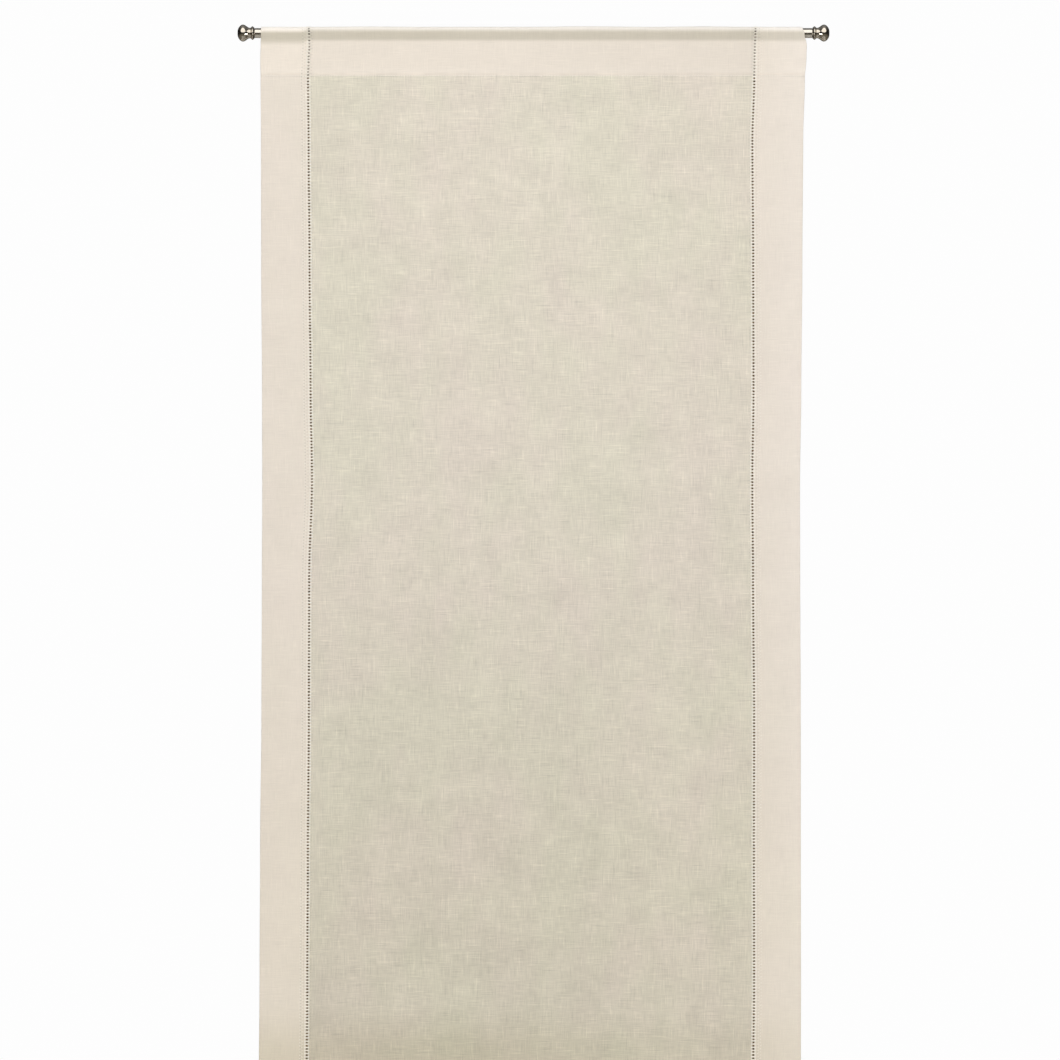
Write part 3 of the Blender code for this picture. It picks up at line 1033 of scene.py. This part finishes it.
def metal_finish(name, shade, roughness):
    """Polished dark nickel with faint turning lines and handling marks."""
    finish = Finish(name, roughness, 1.0)
    place = finish.node("ShaderNodeTexCoord", None, None, 3)
    turned = finish.grain(place, (5200.0, 160.0, 160.0), (0.0, 0.0, 0.0), 2.0, 0.5, False)
    marks = finish.grain(place, (240.0, 240.0, 240.0), (2.0, 7.0, 1.0), 4.0, 0.6, False)
    worn = colour(*(c * 0.86 for c in shade[:3]))
    tint = finish.scale(finish.mix(marks + 0.5, shade, worn), 1.0 + turned * 0.05)
    return finish.finish(tint, roughness + marks * 0.10 + turned * 0.04, turned, 0.00001, 0.25)


# ---------------------------------------------------------------- light, floor and camera


# What the eye sees all round, then the room that lights and is mirrored: (height from 0 to 1, colour)
# for its two ends, and (height, brightness) between them.
WHITE = (0.985, 0.985, 0.985, 1.0)
ROOM_ENDS = ((0.30, (0.26, 0.24, 0.20, 1.0)), (0.95, (0.42, 0.42, 0.42, 1.0)))
ROOM_BETWEEN = ((0.45, 0.04), (0.62, 0.02), (0.80, 0.15))

# Lights: name, size, watts, place, aimed at, and whether it lights the cloth or only metal.
LAMP_COLOUR = (1.0, 0.985, 0.96)
LIGHTS = (
    ("softbox", (2.9, 2.9), 36.0, (0.0, -1.75, 1.95), (0.0, 0.0, -0.1), True),
    ("front_fill", (4.0, 4.0), 119.5, (0.0, -4.6, -0.3), (0.0, 0.0, -0.5), True),
    ("back_fill", (3.4, 3.4), 170.0, (0.0, 4.2, 0.4), (0.0, 0.0, -0.6), True),
    ("metal_light", (10.0, 3.6), 190.0, (0.0, -2.13, 1.66), (0.0, 0.0, 0.0), False),
)
GLINT_PLACE = (0.0, -0.15, -0.09)
GLINT_RADIUS = 0.042
GLINT_WATTS = 0.6

FLOOR_SIZE = 2.4
FLOOR_HEIGHT = -1.30

FRAME_HEIGHT = 1.186
CAMERA_DISTANCE = 6.0
CAMERA_X = -0.0039
CAMERA_Z = -0.5560
SENSOR = 36.0


def make_world():
    """White all round to the eye, and a dim studio to everything else."""
    world = bpy.data.worlds.new("studio")
    world.use_nodes = True
    bpy.context.scene.world = world
    tree = world.node_tree
    tree.nodes.clear()
    output = tree.nodes.new("ShaderNodeOutputWorld")
    seen = tree.nodes.new("ShaderNodeBackground")
    seen.inputs["Color"].default_value = WHITE
    room = tree.nodes.new("ShaderNodeBackground")
    ramp = tree.nodes.new("ShaderNodeValToRGB")
    for stop, (position, shade) in zip(ramp.color_ramp.elements, ROOM_ENDS):
        stop.position = position
        stop.color = shade
    for position, shade in ROOM_BETWEEN:
        stop = ramp.color_ramp.elements.new(position)
        stop.color = (shade, shade * 0.97, shade * 0.92, 1.0)
    where = tree.nodes.new("ShaderNodeTexCoord")
    split = tree.nodes.new("ShaderNodeSeparateXYZ")
    height = tree.nodes.new("ShaderNodeMapRange")
    height.inputs["From Min"].default_value = -1.0
    tree.links.new(where.outputs["Generated"], split.inputs[0])
    tree.links.new(split.outputs["Z"], height.inputs["Value"])
    tree.links.new(height.outputs[0], ramp.inputs[0])
    tree.links.new(ramp.outputs[0], room.inputs["Color"])
    path = tree.nodes.new("ShaderNodeLightPath")
    mix = tree.nodes.new("ShaderNodeMixShader")
    tree.links.new(path.outputs["Is Camera Ray"], mix.inputs[0])
    tree.links.new(room.outputs[0], mix.inputs[1])
    tree.links.new(seen.outputs[0], mix.inputs[2])
    tree.links.new(mix.outputs[0], output.inputs["Surface"])


def make_light(name, size, power, place, target, lights_cloth):
    """A soft oval light aimed at a point: one that lights the cloth, or one only mirrored in metal."""
    lamp = bpy.data.lights.new(name, "AREA")
    lamp.shape = "ELLIPSE"
    lamp.size, lamp.size_y = size
    lamp.energy = power
    lamp.color = LAMP_COLOUR
    thing = bpy.data.objects.new(name, lamp)
    bpy.context.scene.collection.objects.link(thing)
    thing.location = place
    away = np.array(place) - np.array(target)
    flat = math.hypot(away[0], away[1])
    thing.rotation_euler = (math.atan2(flat, away[2]), 0.0, math.atan2(away[0], -away[1]))
    thing.visible_camera = False
    thing.visible_glossy = not lights_cloth
    thing.visible_diffuse = lights_cloth


def make_glint(place, radius, power):
    """A small round lamp that only polished metal mirrors."""
    lamp = bpy.data.lights.new("glint", "POINT")
    lamp.shadow_soft_size = radius
    lamp.energy = power
    thing = bpy.data.objects.new("glint", lamp)
    bpy.context.scene.collection.objects.link(thing)
    thing.location = place
    thing.visible_camera = False
    thing.visible_diffuse = False


def make_floor():
    bpy.ops.object.select_all(action="DESELECT")
    bpy.ops.mesh.primitive_plane_add(size=FLOOR_SIZE, location=(0.0, 0.0, FLOOR_HEIGHT))
    floor = bpy.context.active_object
    floor.name = "floor"
    finish = Finish("floor_paint", 0.9)
    place = finish.node("ShaderNodeTexCoord", None, None, 3)
    speckle = finish.grain(place, (9.0, 9.0, 9.0), (0.0, 0.0, 0.0), 3.0, 0.5, False)
    paint = finish.mix(speckle + 0.5, colour(0.88, 0.87, 0.85), colour(0.91, 0.90, 0.88))
    floor.data.materials.append(finish.finish(paint))


def make_camera():
    camera = bpy.data.cameras.new("camera")
    camera.sensor_width = SENSOR
    camera.lens = SENSOR * CAMERA_DISTANCE / FRAME_HEIGHT
    camera.clip_end = 50.0
    thing = bpy.data.objects.new("camera", camera)
    bpy.context.scene.collection.objects.link(thing)
    thing.location = (CAMERA_X, -CAMERA_DISTANCE, CAMERA_Z)
    thing.rotation_euler = (math.pi / 2.0, 0.0, 0.0)
    bpy.context.scene.camera = thing


# ---------------------------------------------------------------- put together

linen = linen_finish("linen_weave")
open_linen = linen_finish("openwork_weave")
thread = thread_finish("stitch_thread", THREAD)
hole_shade = hole_finish("hole_shade")
rod_metal = metal_finish("rod_nickel", ROD_NICKEL, 0.14)
finial_metal = metal_finish("finial_nickel", FINIAL_NICKEL, 0.10)

curtain = make_curtain(linen)
rung = stitch(2.0 * RUNG_REACH, 0.00066, 8, pinch=0.86, flatten=0.85)
knot = stitch(0.0016, 0.00036)
scallop = stitch(0.0031, 0.00026, 5, bow=-0.00045)
running = stitch(0.0030, 0.00020, 5, bow=0.00010)
pick_stitch = stitch(0.0016, 0.00030, 5)
shapes = (rung, knot, scallop, running, pick_stitch)
left_edges = rung_places(5)
right_edges = rung_places(8)
left_open = openwork_strip("openwork_left", "left_line", -1.0, left_edges, open_linen, hole_shade)
right_open = openwork_strip("openwork_right", "right_line", 1.0, right_edges, open_linen, hole_shade)
left_stitch = make_hemstitch("hemstitch_left", "left_line", -1.0, left_edges, thread, shapes)
right_stitch = make_hemstitch("hemstitch_right", "right_line", 1.0, right_edges, thread, shapes)
seams = make_seams(thread, stitch(0.0024, 0.00022, 5))

rod = make_rod(rod_metal)
left_finial = make_finial("turned_finial_left", -1.0, finial_metal)
right_finial = make_finial("turned_finial_right", 1.0, finial_metal)

for piece in (curtain, left_open, right_open, left_stitch, right_stitch, seams):
    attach(piece, "root")
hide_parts("curtain")
for piece, node, slot in (
    (rod, "rod", "rod_metal"),
    (left_finial, "finial_left", "finial_metal"),
    (right_finial, "finial_right", "finial_metal"),
):
    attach(piece, "root")
    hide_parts(node)

make_world()
for light in LIGHTS:
    make_light(*light)
make_glint(GLINT_PLACE, GLINT_RADIUS, GLINT_WATTS)
make_floor()
make_camera()
bpy.context.scene.view_settings.view_transform = "Standard"
